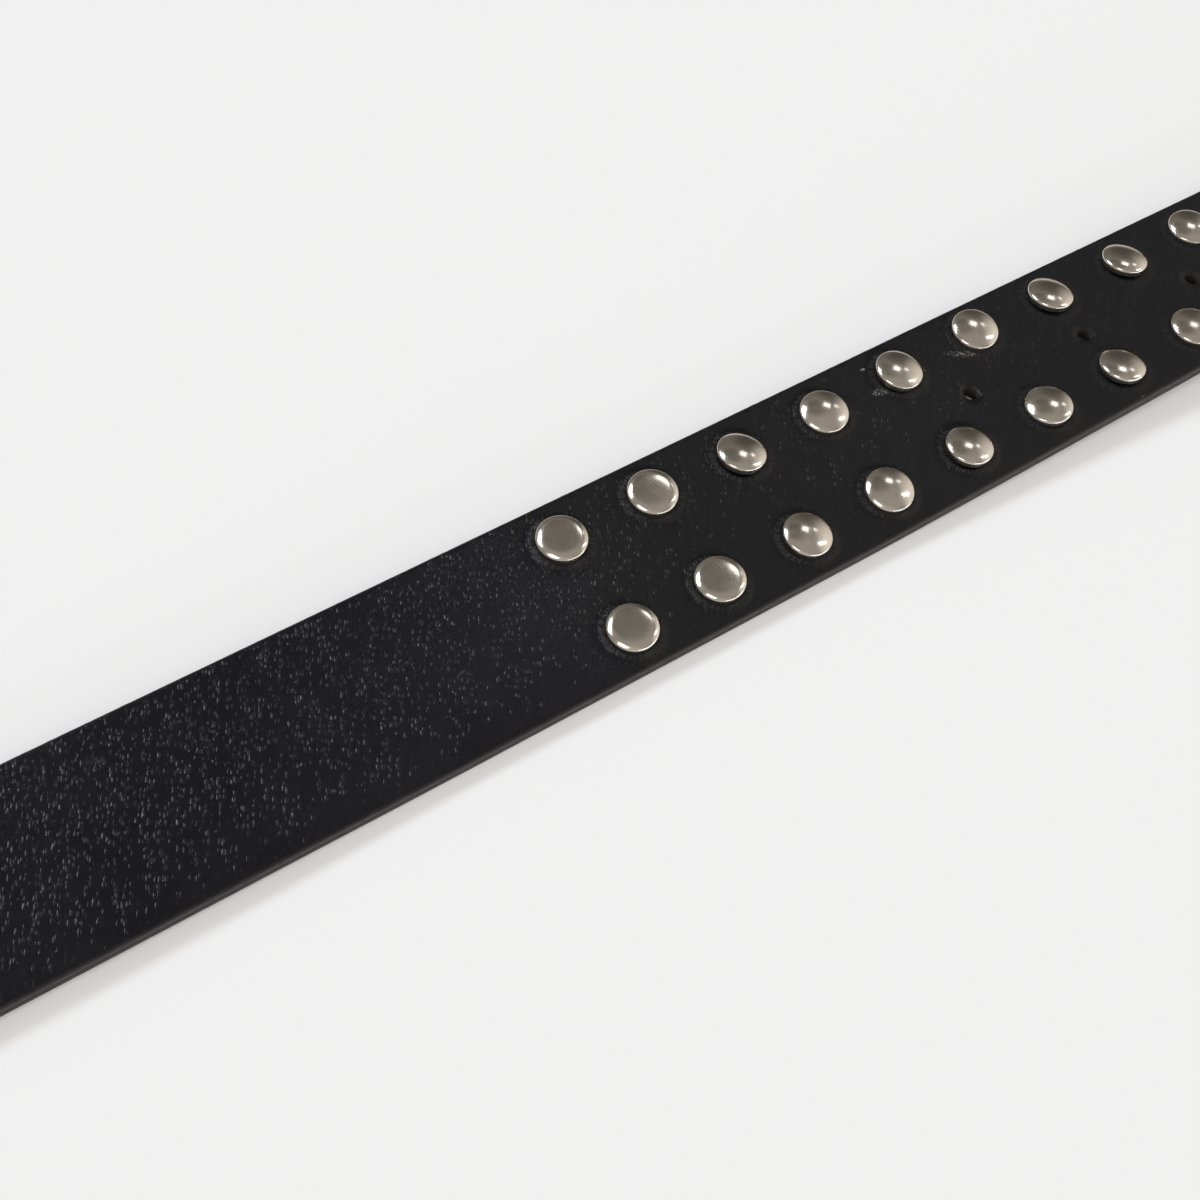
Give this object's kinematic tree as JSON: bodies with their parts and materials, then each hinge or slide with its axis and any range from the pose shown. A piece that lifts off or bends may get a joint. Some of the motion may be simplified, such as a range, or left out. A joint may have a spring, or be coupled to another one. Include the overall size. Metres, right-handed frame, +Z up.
{
  "type": "studded belt",
  "caption": "Straight black leather waist belt with two rows of low dome studs, punched prong holes, a folded buckle end, a plain prong buckle and a keeper loop.",
  "frame": {"origin": "on the surface that the belt lies on, under the middle of the belt's length and width", "axes": "+X along the strap from the buckle to the tip, +Z up out of the strap's face"},
  "size_m": [1.032, 0.041, 0.0117],
  "materials": {
    "black_leather": "smooth-topped black leather with fine grain, painted edges, satin gloss",
    "polished_nickel": "polished warm nickel plating with fine scratches"
  },
  "bodies": {
    "root": {"strap": "black_leather", "keeper": "black_leather", "buckle": "polished_nickel", "rivet_1": "polished_nickel", "rivet_2": "polished_nickel", "stud_near_01": "polished_nickel", "stud_near_02": "polished_nickel", "stud_near_03": "polished_nickel", "stud_near_04": "polished_nickel", "stud_near_05": "polished_nickel", "stud_near_06": "polished_nickel", "stud_near_07": "polished_nickel", "stud_near_08": "polished_nickel", "stud_near_09": "polished_nickel", "stud_near_10": "polished_nickel", "stud_near_11": "polished_nickel", "stud_near_12": "polished_nickel", "stud_near_13": "polished_nickel", "stud_near_14": "polished_nickel", "stud_near_15": "polished_nickel", "stud_near_16": "polished_nickel", "stud_far_01": "polished_nickel", "stud_far_02": "polished_nickel", "stud_far_03": "polished_nickel", "stud_far_04": "polished_nickel", "stud_far_05": "polished_nickel", "stud_far_06": "polished_nickel", "stud_far_07": "polished_nickel", "stud_far_08": "polished_nickel", "stud_far_09": "polished_nickel", "stud_far_10": "polished_nickel", "stud_far_11": "polished_nickel", "stud_far_12": "polished_nickel", "stud_far_13": "polished_nickel", "stud_far_14": "polished_nickel", "stud_far_15": "polished_nickel", "stud_far_16": "polished_nickel"}
  },
  "joints": []
}
